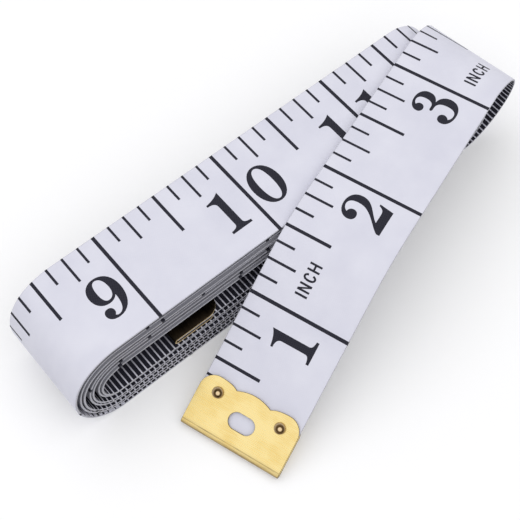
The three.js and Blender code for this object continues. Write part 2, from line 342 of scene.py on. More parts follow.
def buildWeave():
    group, given, result = nodeGroup(
        "clothWeave",
        [("Place", "NodeSocketVector", None), ("Thread", "NodeSocketFloat", weaveValues["thread"])],
        [("Height", "NodeSocketFloat"), ("Mottle", "NodeSocketFloat")])
    axes = axesOf(group, given.outputs["Place"])
    turn = mathNode(group, "DIVIDE", 2 * math.pi, given.outputs["Thread"])
    waves = [mathNode(group, "COSINE", product(group, axes[k], turn)) for k in (0, 1)]
    crossing = product(group, *waves)
    slub = noiseNode(group, given.outputs["Place"], *weaveValues["slub"])
    height = mathNode(group, "MULTIPLY_ADD", crossing, weaveValues["crossing"], weaveValues["level"])
    height = mathNode(group, "MULTIPLY_ADD", slub, weaveValues["slubShare"], height)
    group.links.new(height, result.inputs["Height"])
    mottle = noiseNode(group, given.outputs["Place"], *weaveValues["mottle"])
    group.links.new(mottle, result.inputs["Mottle"])
    return group


# fine drawn lines and small pits of rolled sheet metal
brushedValues = {"stretch": 14.0, "Lines": (0.5, 5.0, 0.6), "Pits": (3.2, 4.0, 0.65),
                 "Cloud": (0.22, 2.0, 0.5)}


def buildBrushed():
    group, given, result = nodeGroup(
        "brushedSheet",
        [("Place", "NodeSocketVector", None), ("Stretch", "NodeSocketFloat", brushedValues["stretch"])],
        [("Lines", "NodeSocketFloat"), ("Pits", "NodeSocketFloat"), ("Cloud", "NodeSocketFloat")])
    place = given.outputs["Place"]
    axes = axesOf(group, place)
    joined = group.nodes.new("ShaderNodeCombineXYZ")
    stretched = product(group, axes[0], given.outputs["Stretch"])
    for slot, value in enumerate((stretched, axes[1], axes[2])):
        group.links.new(value, joined.inputs[slot])
    for label, source in (("Lines", joined.outputs[0]), ("Pits", place), ("Cloud", place)):
        group.links.new(noiseNode(group, source, *brushedValues[label]), result.inputs[label])
    return group


weave = buildWeave()
brushed = buildBrushed()


def newFinish(name):
    material = bpy.data.materials.new(name)
    material.use_nodes = True
    return material, material.node_tree, material.node_tree.nodes["Principled BSDF"]


def placeOf(tree, attribute):
    node = tree.nodes.new("ShaderNodeAttribute")
    node.attribute_name = attribute
    return node.outputs["Vector"]


def useGroup(tree, group, place, **values):
    node = tree.nodes.new("ShaderNodeGroup")
    node.node_tree = group
    tree.links.new(place, node.inputs["Place"])
    for label, value in values.items():
        node.inputs[label].default_value = value
    return node.outputs


# what every finish has: a colour, a span of roughness, a bump, and fixed levels
def dress(tree, shader, colour, shine, height, values):
    bump = tree.nodes.new("ShaderNodeBump")
    bump.inputs["Strength"].default_value = values["bump"]
    bump.inputs["Distance"].default_value = values["bumpDepth"] * mm
    tree.links.new(height, bump.inputs["Height"])
    rough = spanNode(tree, shine, target=values["rough"])
    for label, made in (("Base Color", colour), ("Roughness", rough), ("Normal", bump.outputs["Normal"])):
        tree.links.new(made, shader.inputs[label])
    for label, level in values["levels"].items():
        shader.inputs[label].default_value = level


clothFinish = {"pale": (0.735, 0.735, 0.825), "shaded": (0.665, 0.665, 0.765), "mottleFrom": (0.3, 0.68),
               "edge": (0.30, 0.30, 0.33), "edgeThread": (0.54, 0.54, 0.60), "threadFrom": (0.4, 0.95),
               "darkening": 0.16, "darkeningFall": 1.4, "rough": (0.42, 0.56), "bump": 0.34, "bumpDepth": 0.02,
               "thread": 0.42, "paintedShade": (0.09, 0.09, 0.105), "shadeFrom": (300.0, 340.0), "gapShadeWidth": 1.6,
               "deepFrom": (0.8, 4.6), "deepLevel": 0.82, "levels": {"Specular IOR Level": 0.4}}


def buildCloth():
    finish = clothFinish
    material, tree, shader = newFinish("coatedCloth")
    place = placeOf(tree, "tapePlace")
    threads = useGroup(tree, weave, place, Thread=finish["thread"])
    along, across, out = axesOf(tree, place)
    colour = rampNode(tree, threads["Mottle"], finish["mottleFrom"], (finish["shaded"], finish["pale"]))
    fromNear = mathNode(tree, "SUBTRACT", width, across)
    inside = mathNode(tree, "MINIMUM", across, fromNear)
    # painted shade between the turns of the roll, on the inch face beside its near edge, where the turn above
    # covers it
    turned = spanNode(tree, along, finish["shadeFrom"])
    inchFace = mathNode(tree, "GREATER_THAN", out, half / 2)
    paintedShade = product(tree, fadeNode(tree, fromNear, finish["gapShadeWidth"]), inchFace, turned)
    colour = mixColour(tree, paintedShade, colour, finish["paintedShade"])
    # and painted shade deeper in on the other face, where the core is open
    otherFace = mathNode(tree, "LESS_THAN", out, -half / 2)
    deep = spanNode(tree, inside, finish["deepFrom"], (0.0, finish["deepLevel"]))
    colour = mixColour(tree, product(tree, deep, turned, otherFace), colour, finish["paintedShade"])
    # bare threads along the two cut edges, which are also darkened there as painted shade
    cut = mathNode(tree, "POWER", fadeNode(tree, inside, finish["darkening"]), finish["darkeningFall"])
    ends = rampNode(tree, threads["Height"], finish["threadFrom"], (finish["edge"], finish["edgeThread"]))
    colour = mixColour(tree, cut, colour, ends)
    dress(tree, shader, colour, threads["Height"], threads["Height"], finish)
    return material


inkFinish = {"dark": (0.010, 0.010, 0.017), "worn": (0.026, 0.026, 0.038), "wornFrom": (0.45, 0.95),
             "rough": (0.38, 0.55), "bump": 0.25, "bumpDepth": 0.02, "thread": 0.42,
             "levels": {"Specular IOR Level": 0.15}}


def buildInk():
    finish = inkFinish
    material, tree, shader = newFinish("printingInk")
    threads = useGroup(tree, weave, placeOf(tree, "tapePlace"), Thread=finish["thread"])
    colour = rampNode(tree, threads["Height"], finish["wornFrom"], (finish["dark"], finish["worn"]))
    dress(tree, shader, colour, threads["Mottle"], threads["Height"], finish)
    return material


# the outer clip is clean and pale, its sheared edges painted dark as shade; the one inside the roll is
# painted dark all over as shade, with painted highlights on its sheared edges
brassFinishes = {
    "zero_end": {"bright": (0.97, 0.78, 0.36), "deep": (0.87, 0.64, 0.23), "foldTone": (0.30, 0.21, 0.09),
                 "cut": (0.15, 0.10, 0.038), "rough": (0.2, 0.36)},
    "inner_end": {"bright": (0.034, 0.024, 0.015), "deep": (0.016, 0.012, 0.008),
                  "foldTone": (0.016, 0.012, 0.008), "cut": (0.72, 0.56, 0.32), "rough": (0.3, 0.46)}}
brassSheet = {"stretch": 14.0, "dull": 0.7, "cutFrom": (0.35, 0.65), "lineShare": 0.45, "cloudShare": 0.55,
              "toneFrom": (0.36, 0.58), "foldWidth": 1.5, "foldFall": 3.0, "streak": (2.6, -0.85),
              "crease": 0.95, "creaseWidth": 0.16, "creaseLevel": 0.35, "pitShare": 0.5, "bump": 0.1,
              "bumpDepth": 0.03, "levels": {"Metallic": 1.0}}


def flatBrass(tree, place, sheet, finish):
    reach = axesOf(tree, place)[0]
    cloud = product(tree, sheet["Cloud"], brassSheet["cloudShare"])
    tone = mathNode(tree, "MULTIPLY_ADD", sheet["Lines"], brassSheet["lineShare"], cloud)
    colour = rampNode(tree, tone, brassSheet["toneFrom"], (finish["deep"], finish["bright"]))
    # painted shade on the rolled fold and along its crease, with streaks of tarnish beside the fold
    near = fadeNode(tree, reach, brassSheet["foldWidth"])
    streak = mathNode(tree, "MULTIPLY_ADD", sheet["Lines"], *brassSheet["streak"])
    streak = mathNode(tree, "MAXIMUM", streak, 0.0)
    foldShadeAndTarnish = mathNode(tree, "ADD", streak, mathNode(tree, "POWER", near, brassSheet["foldFall"]))
    foldShadeAndTarnish = product(tree, near, foldShadeAndTarnish)
    crease = mathNode(tree, "ABSOLUTE", mathNode(tree, "SUBTRACT", reach, brassSheet["crease"]))
    crease = fadeNode(tree, crease, brassSheet["creaseWidth"])
    crease = product(tree, crease, mathNode(tree, "ADD", streak, brassSheet["creaseLevel"]))
    foldShadeAndTarnish = mathNode(tree, "MINIMUM", mathNode(tree, "MAXIMUM", foldShadeAndTarnish, crease), 1.0)
    return mixColour(tree, foldShadeAndTarnish, colour, finish["foldTone"])


def buildBrass(end, cutEdge):
    finish = brassFinishes[end]
    material, tree, shader = newFinish(("cutBrass_" if cutEdge else "sheetBrass_") + end)
    place = placeOf(tree, "clipPlace")
    sheet = useGroup(tree, brushed, place, Stretch=brassSheet["stretch"])
    # sheared edges: painted shade on the outer clip, painted highlight on the inner one
    if cutEdge:
        dull = tuple(c * brassSheet["dull"] for c in finish["cut"])
        colour = rampNode(tree, sheet["Pits"], brassSheet["cutFrom"], (dull, finish["cut"]))
    else:
        colour = flatBrass(tree, place, sheet, finish)
    height = mathNode(tree, "MULTIPLY_ADD", sheet["Pits"], brassSheet["pitShare"], sheet["Lines"])
    dress(tree, shader, colour, sheet["Lines"], height, {**brassSheet, **finish})
    return material


rivetFinish = {"bright": (0.86, 0.66, 0.40), "deep": (0.085, 0.045, 0.014), "stretch": 1.0,
               "darkeningFrom": (0.26, 0.42, 0.7, 0.95), "darkening": (0.0, 1.0, 0.95, 0.5), "rough": (0.2, 0.36),
               "bump": 0.15, "bumpDepth": 0.02, "levels": {"Metallic": 1.0}}


def buildRivetBrass():
    finish = rivetFinish
    material, tree, shader = newFinish("rivetBrass")
    place = placeOf(tree, "clipPlace")
    sheet = useGroup(tree, brushed, place, Stretch=finish["stretch"])
    # a painted highlight: the middle of the head is bright, the ring round it darker
    greys = [(level,) * 3 for level in finish["darkening"]]
    darkening = rampNode(tree, axesOf(tree, place)[2], finish["darkeningFrom"], greys)
    colour = mixColour(tree, darkening, finish["bright"], finish["deep"])
    dress(tree, shader, colour, sheet["Pits"], sheet["Pits"], finish)
    return material


cloth, ink, rivetBrass = buildCloth(), buildInk(), buildRivetBrass()
print("finishes made")


def faceOutward(mesh):
    work = bmesh.new()
    work.from_mesh(mesh)
    bmesh.ops.recalc_face_normals(work, faces=work.faces)
    work.to_mesh(mesh)
    work.free()


def newPiece(name, points, faces, places, attribute, finish, sharp=40.0):
    mesh = bpy.data.meshes.new(name)
    mesh.from_pydata(points, [], faces)
    layer = mesh.attributes.new(attribute, "FLOAT_VECTOR", "POINT")
    layer.data.foreach_set("vector", [value for place in places for value in place])
    faceOutward(mesh)
    mesh.polygons.foreach_set("use_smooth", [True] * len(mesh.polygons))
    mesh.set_sharp_from_angle(angle=math.radians(sharp))
    mesh.materials.append(finish)
    piece = bpy.data.objects.new(name, mesh)
    scene.collection.objects.link(piece)
    return piece


# cloth pieces: rows across the tape, each with a thin section whose edges are rounded; the rim is given
# in shares of the rounding and of half the thickness
section = {"support": 0.4, "middle": 0.5, "rim": ((1.0, 1.0), (0.3, 0.72), (0.0, 0.26))}


def tapeSection():
    rim = [(f * tape["edgeRound"], h) for f, h in section["rim"]]
    face = [section["support"], section["middle"] * width, width - section["support"]]
    top = [(t, half) for t in (rim[0][0], *face)]
    side = [(width - t, half * h) for t, h in rim] + [(width - t, -half * h) for t, h in reversed(rim)]
    bottom = [(t, -half) for t in reversed(face)]
    start = [(t, -half * h) for t, h in rim] + [(t, half * h) for t, h in reversed(rim[1:])]
    return top + side + bottom + start


def ribbon(name, rows):
    ring = tapeSection()
    points, places, faces = [], [], []
    for far, near in rows:
        for t, h in ring:
            s = far + (near - far) * t / width
            points.append(tapePoint(s, t, h))
            places.append((s, t, h))
    size = len(ring)
    for row in range(len(rows) - 1):
        for k in range(size):
            a, b = row * size + k, row * size + (k + 1) % size
            faces.append((a, b, b + size, a + size))
    last = (len(rows) - 1) * size
    faces.append(tuple(range(size)))
    faces.append(tuple(last + k for k in reversed(range(size))))
    return newPiece(name, points, faces, places, "tapePlace", cloth)


def evenRows(first, last, steps):
    return [(first[0] + (last[0] - first[0]) * i / steps, first[1] + (last[1] - first[1]) * i / steps)
            for i in range(steps + 1)]


def wrapRow(u):
    return foldStart - u / math.cos(skew), foldStart - (u + width * math.sin(skew)) / math.cos(skew)


steps = {"run": 14, "heel": 18, "shoulder": 14, "right": 26, "lead": 2, "fold": 30, "free": 12, "droop": 20,
         "tip": 8}


def windingRows():
    rows = evenRows(wrapRow(0), (freeEnd["length"],) * 2, steps["lead"])[:-1]
    for index, (_, start, far, _) in enumerate(winding):
        first = freeEnd["length"] + start
        count = steps[turnParts[index % perTurn]]
        rows += evenRows((first, first), (first + far,) * 2, count)[:-1]
    return rows + [(tapeLength, tapeLength)]


clothPieces = {"roll": ribbon("tape_roll", windingRows())}
for zone in range(1, freeEnd["hinges"] + 1):
    rows = evenRows(wrapRow((zone - 1) * foldStep), wrapRow(zone * foldStep), steps["fold"])
    clothPieces["fold_%d" % zone] = ribbon("tape_bend_%d" % zone, rows)
rows = evenRows(wrapRow(foldLength), (droopStart,) * 2, steps["free"])
clothPieces["free"] = ribbon("tape_over_roll", rows)
clothPieces["droop"] = ribbon("tape_droop", evenRows((droopStart,) * 2, (droopEnd,) * 2, steps["droop"]))
clothPieces["tip"] = ribbon("tape_zero_end", evenRows((droopEnd,) * 2, (clipOuter,) * 2, steps["tip"]))
print("cloth pieces:", {k: len(p.data.vertices) for k, p in clothPieces.items()})


# printed marks, drawn flat as outlines: M and L are points, C is a curve with two handles
glyphs = {
    "0": ["M .345 1 C .15 1 0 .8 0 .5 C 0 .2 .15 0 .345 0 C .54 0 .69 .2 .69 .5 C .69 .8 .54 1 .345 1",
          "M .345 .94 C .23 .94 .18 .76 .18 .5 C .18 .24 .23 .06 .345 .06 C .46 .06 .51 .24 .51 .5"
          " C .51 .76 .46 .94 .345 .94"],
    "1": ["M .02 0 L .52 0 L .52 .06 C .42 .07 .36 .09 .36 .16 L .36 1 C .27 .93 .15 .89 0 .875 L 0 .825"
          " C .1 .83 .19 .8 .19 .7 L .19 .16 C .19 .09 .12 .07 .02 .06"],
    "2": ["M 0 0 L .595 0 L .645 .325 L .6 .325 C .57 .23 .52 .2 .42 .2 L .215 .2 C .3 .3 .4 .36 .49 .44"
          " C .58 .52 .63 .61 .63 .72 C .63 .9 .5 1 .32 1 C .14 1 .02 .89 .02 .76"
          " C .02 .67 .07 .615 .145 .615 C .22 .615 .265 .665 .265 .73 C .265 .8 .215 .835 .16 .845"
          " C .19 .905 .25 .94 .31 .94 C .4 .94 .45 .86 .45 .73 C .45 .6 .41 .52 .33 .42"
          " C .24 .31 .03 .14 0 .07"],
    "3": ["M .31 1 C .49 1 .6 .9 .6 .77 C .6 .65 .54 .58 .43 .545 C .57 .52 .655 .42 .655 .28"
          " C .655 .11 .52 0 .32 0 C .13 0 0 .09 0 .21 C 0 .285 .05 .335 .115 .335"
          " C .18 .335 .225 .29 .225 .23 C .225 .175 .19 .14 .155 .12 C .19 .07 .24 .055 .3 .055"
          " C .41 .055 .455 .14 .455 .28 C .455 .43 .4 .51 .28 .51 L .24 .51 C .2 .51 .175 .525 .175 .545"
          " C .175 .57 .2 .585 .24 .58 L .28 .58 C .37 .58 .415 .66 .415 .77"
          " C .415 .88 .375 .945 .29 .945 C .24 .945 .2 .925 .175 .89 C .22 .875 .245 .84 .245 .8"
          " C .245 .74 .2 .7 .14 .7 C .075 .7 .03 .745 .03 .81 C .03 .92 .14 1 .31 1"],
    "4": ["M .545 1 L .545 .345 L .67 .345 L .67 .265 L .545 .265 L .545 .12 C .55 .08 .6 .06 .66 .055"
          " L .66 0 L .245 0 L .245 .055 C .31 .06 .36 .08 .365 .12 L .365 .265 L 0 .265 L 0 .33 L .43 1",
          "M .365 .345 L .365 .78 L .085 .345"],
    "5": ["M .1 1 C .25 .96 .42 .96 .58 1 C .57 .88 .48 .8 .33 .8 C .27 .8 .21 .81 .165 .83 L .145 .6"
          " C .2 .645 .27 .665 .345 .665 C .53 .665 .65 .54 .65 .345 C .65 .13 .5 0 .29 0"
          " C .12 0 0 .085 0 .205 C 0 .28 .05 .33 .115 .33 C .18 .33 .225 .285 .225 .225"
          " C .225 .17 .19 .135 .15 .12 C .18 .075 .23 .055 .285 .055 C .4 .055 .455 .17 .455 .335"
          " C .455 .51 .4 .6 .305 .6 C .23 .6 .17 .565 .13 .51 L .075 .525"],
    "7": ["M .06 1 L .66 1 L .66 .93 C .52 .7 .42 .45 .4 .15 C .395 .05 .36 0 .29 0"
          " C .22 0 .18 .05 .18 .13 C .18 .33 .36 .55 .55 .8 L .22 .8 C .13 .8 .09 .76 .055 .67 L 0 .68"],
    "8": ["M .335 1 C .5 1 .61 .9 .61 .765 C .61 .66 .55 .59 .46 .545 C .59 .49 .67 .4 .67 .27"
          " C .67 .1 .53 0 .335 0 C .14 0 0 .1 0 .26 C 0 .37 .06 .45 .17 .5 C .09 .56 .045 .64 .045 .745"
          " C .045 .9 .17 1 .335 1",
          "M .335 .945 C .26 .945 .215 .88 .215 .78 C .215 .67 .26 .59 .335 .59"
          " C .41 .59 .455 .67 .455 .77 C .455 .88 .41 .945 .335 .945",
          "M .33 .475 C .24 .475 .17 .39 .17 .265 C .17 .14 .24 .055 .33 .055 C .43 .055 .49 .14 .49 .265"
          " C .49 .39 .43 .475 .33 .475"],
    "9": ["M .31 1 C .53 1 .675 .83 .675 .55 C .675 .22 .51 0 .27 0 C .13 0 .045 .07 .045 .17"
          " C .045 .24 .09 .285 .155 .285 C .22 .285 .265 .24 .265 .18 C .265 .14 .25 .11 .22 .085"
          " C .24 .06 .27 .05 .3 .055 C .42 .065 .48 .22 .48 .45 C .43 .385 .36 .355 .28 .355"
          " C .11 .355 0 .49 0 .675 C 0 .87 .13 1 .31 1",
          "M .315 .945 C .235 .945 .195 .85 .195 .68 C .195 .51 .235 .425 .315 .425"
          " C .4 .425 .475 .5 .475 .66 C .475 .85 .41 .945 .315 .945"],
    "I": ["M 0 0 L .17 0 L .17 1 L 0 1"],
    "N": ["M 0 0 L .16 0 L .16 .68 L .46 0 L .62 0 L .62 1 L .46 1 L .46 .32 L .16 1 L 0 1"],
    "C": ["M .58 .3 C .54 .1 .43 0 .31 0 C .11 0 0 .2 0 .5 C 0 .8 .11 1 .31 1 C .43 1 .54 .9 .58 .7"
          " L .42 .66 C .4 .79 .37 .84 .31 .84 C .21 .84 .165 .72 .165 .5 C .165 .28 .21 .16 .31 .16"
          " C .37 .16 .4 .21 .42 .34"],
    "H": ["M 0 0 L .16 0 L .16 .42 L .46 .42 L .46 0 L .62 0 L .62 1 L .46 1 L .46 .58 L .16 .58 L .16 1"
          " L 0 1"],
    "M": ["M 0 0 L .15 0 L .15 .66 L .31 .18 L .43 .18 L .59 .66 L .59 0 L .74 0 L .74 1 L .55 1"
          " L .37 .46 L .19 1 L 0 1"],
}


def outlinePoints(path, curveSteps=9):
    words, points, at = path.split(), [], 0
    while at < len(words):
        kind = words[at]
        count = 6 if kind == "C" else 2
        numbers = [float(x) for x in words[at + 1:at + 1 + count]]
        pairs = [Vector(numbers[i:i + 2]) for i in range(0, count, 2)]
        if kind == "C":
            start = points[-1]
            for step in range(1, curveSteps + 1):
                f = step / curveSteps
                g = 1 - f
                point = start * g ** 3 + pairs[0] * 3 * g * g * f
                points.append(point + pairs[1] * 3 * g * f * f + pairs[2] * f ** 3)
        else:
            points += pairs
        at += 1 + count
    if (points[0] - points[-1]).length < 1e-6:
        points.pop()
    return points


def drawGlyph(name):
    if name == "6":  # a nine turned half round
        points, faces = drawGlyph("9")
        wide = max(p.x for p in points)
        return [Vector((wide - p.x, 1 - p.y)) for p in points], faces
    rings = [[p.to_3d() for p in outlinePoints(path)] for path in glyphs[name]]
    return [p.to_2d() for ring in rings for p in ring], tessellate_polygon(rings)


drawn = {name: drawGlyph(name) for name in [*glyphs, "6"]}
inchMarks = (("whole", 8), ("half", 4), ("quarter", 2), ("eighth", 1))
inchPrint = {"eighth": (3.6, 0.45), "quarter": (5.5, 0.46), "half": (8.8, 0.58), "whole": (width, 0.66),
             "digitTop": 6.5, "digitHeight": 8.3, "before": 4.45, "first": 4.7, "second": 4.0,
             "lastDigit": 13, "legends": {1: 7.0, 3: 12.4, 5: 7.0, 7: 12.4}, "legendPlace": 6.1,
             "legendHeight": 2.3}
cmPrint = {"line": 0.74, "short": 4.6, "five": 6.2, "whole": 8.0, "digitTop": 9.0, "digitHeight": 5.6,
           "longHeight": 3.7, "digitGap": 0.08, "numbers": [*range(1, 12), *range(132, 153)],
           "legendPlace": 6.0, "legendDrop": 0.6, "legendHeight": 2.0}
printing = {"rise": 0.012, "sink": 0.02, "margin": 0.05, "slice": 0.5, "weld": 1e-5, "legendGap": 0.2}
edgeDot = {"deep": 0.03, "proud": 0.012, "low": 0.1, "topSink": 0.01, "rimSink": 0.05, "clear": 0.5}


# the flat print of one face; depth is counted from the edge that its lines start at
def newFlat(fromNearEdge):
    return {"mesh": bmesh.new(), "near": fromNearEdge}


def flatVert(flat, s, depth):
    return flat["mesh"].verts.new((s, width - depth if flat["near"] else depth, 0))


def addLine(flat, s, thick, start, end):
    a, b = s - thick / 2, s + thick / 2
    flat["mesh"].faces.new([flatVert(flat, *p) for p in ((a, start), (b, start), (b, end), (a, end))])


def addWord(flat, text, centre, top, height, gap=0.0):
    wide = [max(p.x for p in drawn[c][0]) for c in text]
    left = centre - (sum(wide) + gap * (len(text) - 1)) * height / 2
    for c, w in zip(text, wide):
        points, faces = drawn[c]
        made = [flatVert(flat, left + p.x * height, top + (1 - p.y) * height) for p in points]
        for face in faces:
            flat["mesh"].faces.new([made[i] for i in face])
        left += (w + gap) * height


def inchSide():
    flat, p = newFlat(False), inchPrint
    for eighth in range(1, int(tapeLength / inch * 8) + 1):
        kind = next(name for name, every in inchMarks if eighth % every == 0)
        long, thick = p[kind]
        if eighth * inch / 8 < tapeLength - thick:
            addLine(flat, eighth * inch / 8, thick, printing["margin"], min(long, width - printing["margin"]))
    for number in range(1, p["lastDigit"] + 1):
        at = number * inch
        centres = (at - p["before"],) if number < 10 else (at - p["first"], at + p["second"])
        for digit, centre in zip(str(number), centres):
            addWord(flat, digit, centre, p["digitTop"], p["digitHeight"])
    for number, top in p["legends"].items():
        place = number * inch + p["legendPlace"]
        addWord(flat, "INCH", place, top, p["legendHeight"], printing["legendGap"])
    return flat["mesh"]


def cmSide():
    flat, p = newFlat(True), cmPrint
    for count in range(1, int(tapeLength - 1)):
        long = p["whole"] if count % 10 == 0 else p["five"] if count % 5 == 0 else p["short"]
        addLine(flat, float(count), p["line"], printing["margin"], long)
    for number in p["numbers"]:
        height = p["digitHeight" if number < 100 else "longHeight"]
        addWord(flat, str(number), number * cm, p["digitTop"], height, p["digitGap"])
    top = p["digitTop"] + p["digitHeight"] + p["legendDrop"]
    addWord(flat, "CM", cm + p["legendPlace"], top, p["legendHeight"], printing["legendGap"])
    return flat["mesh"]


# keeps what lies past the cut, or what lies before it, or both
def cutFlat(flat, point, direction, keepPast=None):
    geometry = [*flat.verts, *flat.edges, *flat.faces]
    bmesh.ops.bisect_plane(flat, geom=geometry, dist=printing["weld"], plane_co=(*point, 0),
                           plane_no=(*direction, 0), clear_inner=keepPast is True,
                           clear_outer=keepPast is False)


def sliceFlat(flat, points, direction):
    for point in points:
        cutFlat(flat, point, direction)


# ink of one face of the tape as thin closed slabs on the cloth
def addSlabs(flat, side, points, places, faces):
    flat.verts.index_update()
    base = len(points)
    count = len(flat.verts)
    for h in (half + printing["rise"], half - printing["sink"]):
        for v in flat.verts:
            points.append(tapePoint(v.co.x, v.co.y, side * h))
            places.append((v.co.x, v.co.y, side * h))
    for face in flat.faces:
        loop = [base + v.index for v in face.verts]
        faces.append(loop)
        faces.append([i + count for i in reversed(loop)])
    for edge in flat.edges:
        if len(edge.link_faces) == 1:
            a, b = (base + v.index for v in edge.verts)
            faces.append([a, b, b + count, a + count])


alongWrap = (-math.cos(skew), -math.sin(skew))


def wrapPoint(u):
    return foldStart - u / math.cos(skew), 0.0


def zoneOf(flat, zone):
    if zone == "roll":
        cutFlat(flat, wrapPoint(0), alongWrap, False)
        turn = winding[:perTurn]
        bends = [(freeEnd["length"] + start, far) for kind, start, far, _ in turn if kind == "bend"]
        for start, far in bends:
            count = int(far / printing["slice"])
            sliceFlat(flat, [(start + far * i / count, 0) for i in range(count + 1)], (1, 0))
    elif zone.startswith("fold"):
        low = (int(zone[-1]) - 1) * foldStep
        cutFlat(flat, wrapPoint(low), alongWrap, True)
        cutFlat(flat, wrapPoint(low + foldStep), alongWrap, False)
        count = int(foldStep / printing["slice"])
        sliceFlat(flat, [wrapPoint(low + foldStep * i / count) for i in range(1, count)], alongWrap)
    elif zone == "free":
        cutFlat(flat, wrapPoint(foldLength), alongWrap, True)
        cutFlat(flat, (droopStart, 0), (1, 0), True)
    elif zone == "droop":
        cutFlat(flat, (droopStart, 0), (1, 0), False)
        cutFlat(flat, (droopEnd, 0), (1, 0), True)
        long = droopStart - droopEnd
        count = int(long / printing["slice"] / 2)
        sliceFlat(flat, [(droopEnd + long * i / count, 0) for i in range(1, count)], (1, 0))
    else:
        cutFlat(flat, (droopEnd, 0), (1, 0), False)


# ends of the inch lines, which bleed over the near edge of the cloth
def addEdgeDots(zone, points, places, faces):
    back, front = width - edgeDot["deep"], width + edgeDot["proud"]
    thick = inchPrint["whole"][1] / 2
    for number in range(1, int(tapeLength / inch) + 1):
        s = number * inch
        onRoll = zone == "roll" and wrapAt(s, width) <= -edgeDot["clear"]
        onTip = zone == "tip" and s <= droopEnd - edgeDot["clear"]
        if not (onRoll or onTip):
            continue
        base = len(points)
        for ds in (-thick, thick):
            for t, h in ((back, half - edgeDot["topSink"]), (front, half - edgeDot["rimSink"]),
                         (front, -edgeDot["low"]), (back, -edgeDot["low"])):
                points.append(tapePoint(s + ds, t, h))
                places.append((s + ds, t, h))
        faces += [[base + i for i in face] for face in
                  ((0, 1, 2, 3), (7, 6, 5, 4), (0, 4, 5, 1), (1, 5, 6, 2), (2, 6, 7, 3), (3, 7, 4, 0))]


flatPrints = {1: inchSide(), -1: cmSide()}
printPieces = {}
for zone, piece in clothPieces.items():
    points, places, faces = [], [], []
    for side, flat in flatPrints.items():
        part = flat.copy()
        zoneOf(part, zone)
        addSlabs(part, side, points, places, faces)
        part.free()
    addEdgeDots(zone, points, places, faces)
    name = piece.name.replace("tape", "print")
    printPieces[zone] = newPiece(name, points, faces, places, "tapePlace", ink)
print("printed pieces:", {k: len(p.data.vertices) for k, p in printPieces.items()})


# brass clips, cut from a folded sheet
def arc(centre, radius, start, end, count):
    return [(centre[0] + radius * math.cos(start + (end - start) * i / count),
             centre[1] + radius * math.sin(start + (end - start) * i / count)) for i in range(count + 1)]


def quad(a, b, c, count):
    return [tuple(a[k] * (1 - f) ** 2 + 2 * b[k] * f * (1 - f) + c[k] * f * f for k in (0, 1))
            for f in (i / count for i in range(1, count + 1))]


def prism(name, outline, low, high, axes):
    points = []
    for level in (low, high):
        for p in outline:
            point = [0.0, 0.0, 0.0]
            point[axes[0]], point[axes[1]], point[axes[2]] = p[0], p[1], level
            points.append(point)
    count = len(outline)
    faces = [list(range(count)), [count + i for i in reversed(range(count))]]
    faces += [[i, (i + 1) % count, count + (i + 1) % count, count + i] for i in range(count)]
    mesh = bpy.data.meshes.new(name)
    mesh.from_pydata(points, [], faces)
    faceOutward(mesh)
    shape = bpy.data.objects.new(name, mesh)
    scene.collection.objects.link(shape)
    return shape


clipCut = {"support": 0.3, "lobe": 1.1, "past": 1.0, "deep": 2.0, "foldSteps": 28, "cornerSteps": 20,
           "lobeSteps": 14, "notchSteps": 20, "holeSteps": 24, "bevelSteps": 2, "bevelAngle": 50.0,
           "flatFrom": 0.97, "rolledTo": 0.3, "sharp": 25.0}
# the head's rim is given from its seat and its dish from its top, in shares of the radius and in mm
rivet = {"endMargin": 2.6, "sideMargin": 3.5, "shank": 0.6, "head": 1.0, "height": 0.25, "seatGap": 0.1,
         "seatSink": 0.1, "holeGap": 0.2, "holeSteps": 32, "sides": 40, "rim": ((0.97, 0.0), (1.0, 0.12)),
         "dish": ((0.96, 0.06), (0.86, 0.0), (0.76, 0.03), (0.66, 0.14), (0.56, 0.2), (0.46, 0.16),
                  (0.3, 0.06), (0.12, 0.02)), "highlightShift": (0.07, 0.13), "sharp": 60.0}
rivetReach = clip["reach"] - rivet["endMargin"]
rivetSpread = clip["width"] / 2 - rivet["sideMargin"]


# section of the folded sheet, from its edge over the fold and back
def clipProfile():
    end, support = clip["reach"] + clip["notchDepth"], clipOuter + clipCut["support"]
    count = clipCut["foldSteps"]
    return ([(end, clipOuter), (support, clipOuter)]
            + arc((clipOuter, 0), clipOuter, math.pi / 2, 1.5 * math.pi, count)
            + [(support, -clipOuter), (end, -clipOuter), (end, -clipInner)]
            + arc((clipOuter, 0), clipInner, 1.5 * math.pi, math.pi / 2, count) + [(end, clipInner)])


# the sheet seen from above, with round corners and a lobed edge
def clipOutline():
    reach, corner, wide = clip["reach"], clip["corner"], clip["width"] / 2
    notch, back, straight = clip["notchSpacing"] / 2, reach - clip["notchDepth"], reach - corner
    lobe, past = clipCut["lobe"], wide + clipCut["past"]
    return ([(-clipOuter, -past), (straight, -past), (straight, -wide)]
            + arc((straight, corner - wide), corner, -math.pi / 2, 0, clipCut["cornerSteps"])
            + quad((reach, corner - wide), (reach, -notch - lobe), (back, -notch), clipCut["lobeSteps"])
            + quad((back, -notch), (reach + clip["notchDepth"], 0), (back, notch), clipCut["notchSteps"])
            + quad((back, notch), (reach, notch + lobe), (reach, wide - corner), clipCut["lobeSteps"])
            + arc((straight, wide - corner), corner, 0, math.pi / 2, clipCut["cornerSteps"])
            + [(straight, past), (-clipOuter, past)])


def clipHoles():
    side, roundEnd = (clip["holeLength"] - clip["holeWidth"]) / 2, clip["holeWidth"] / 2
    oblong = (arc((clip["holeReach"], side), roundEnd, 0, math.pi, clipCut["holeSteps"])
              + arc((clip["holeReach"], -side), roundEnd, math.pi, 2 * math.pi, clipCut["holeSteps"]))
    radius = rivet["shank"] + rivet["holeGap"]
    rounds = [arc((rivetReach, y), radius, 0, 2 * math.pi, rivet["holeSteps"])[:-1]
              for y in (-rivetSpread, rivetSpread)]
    return [oblong, *rounds]


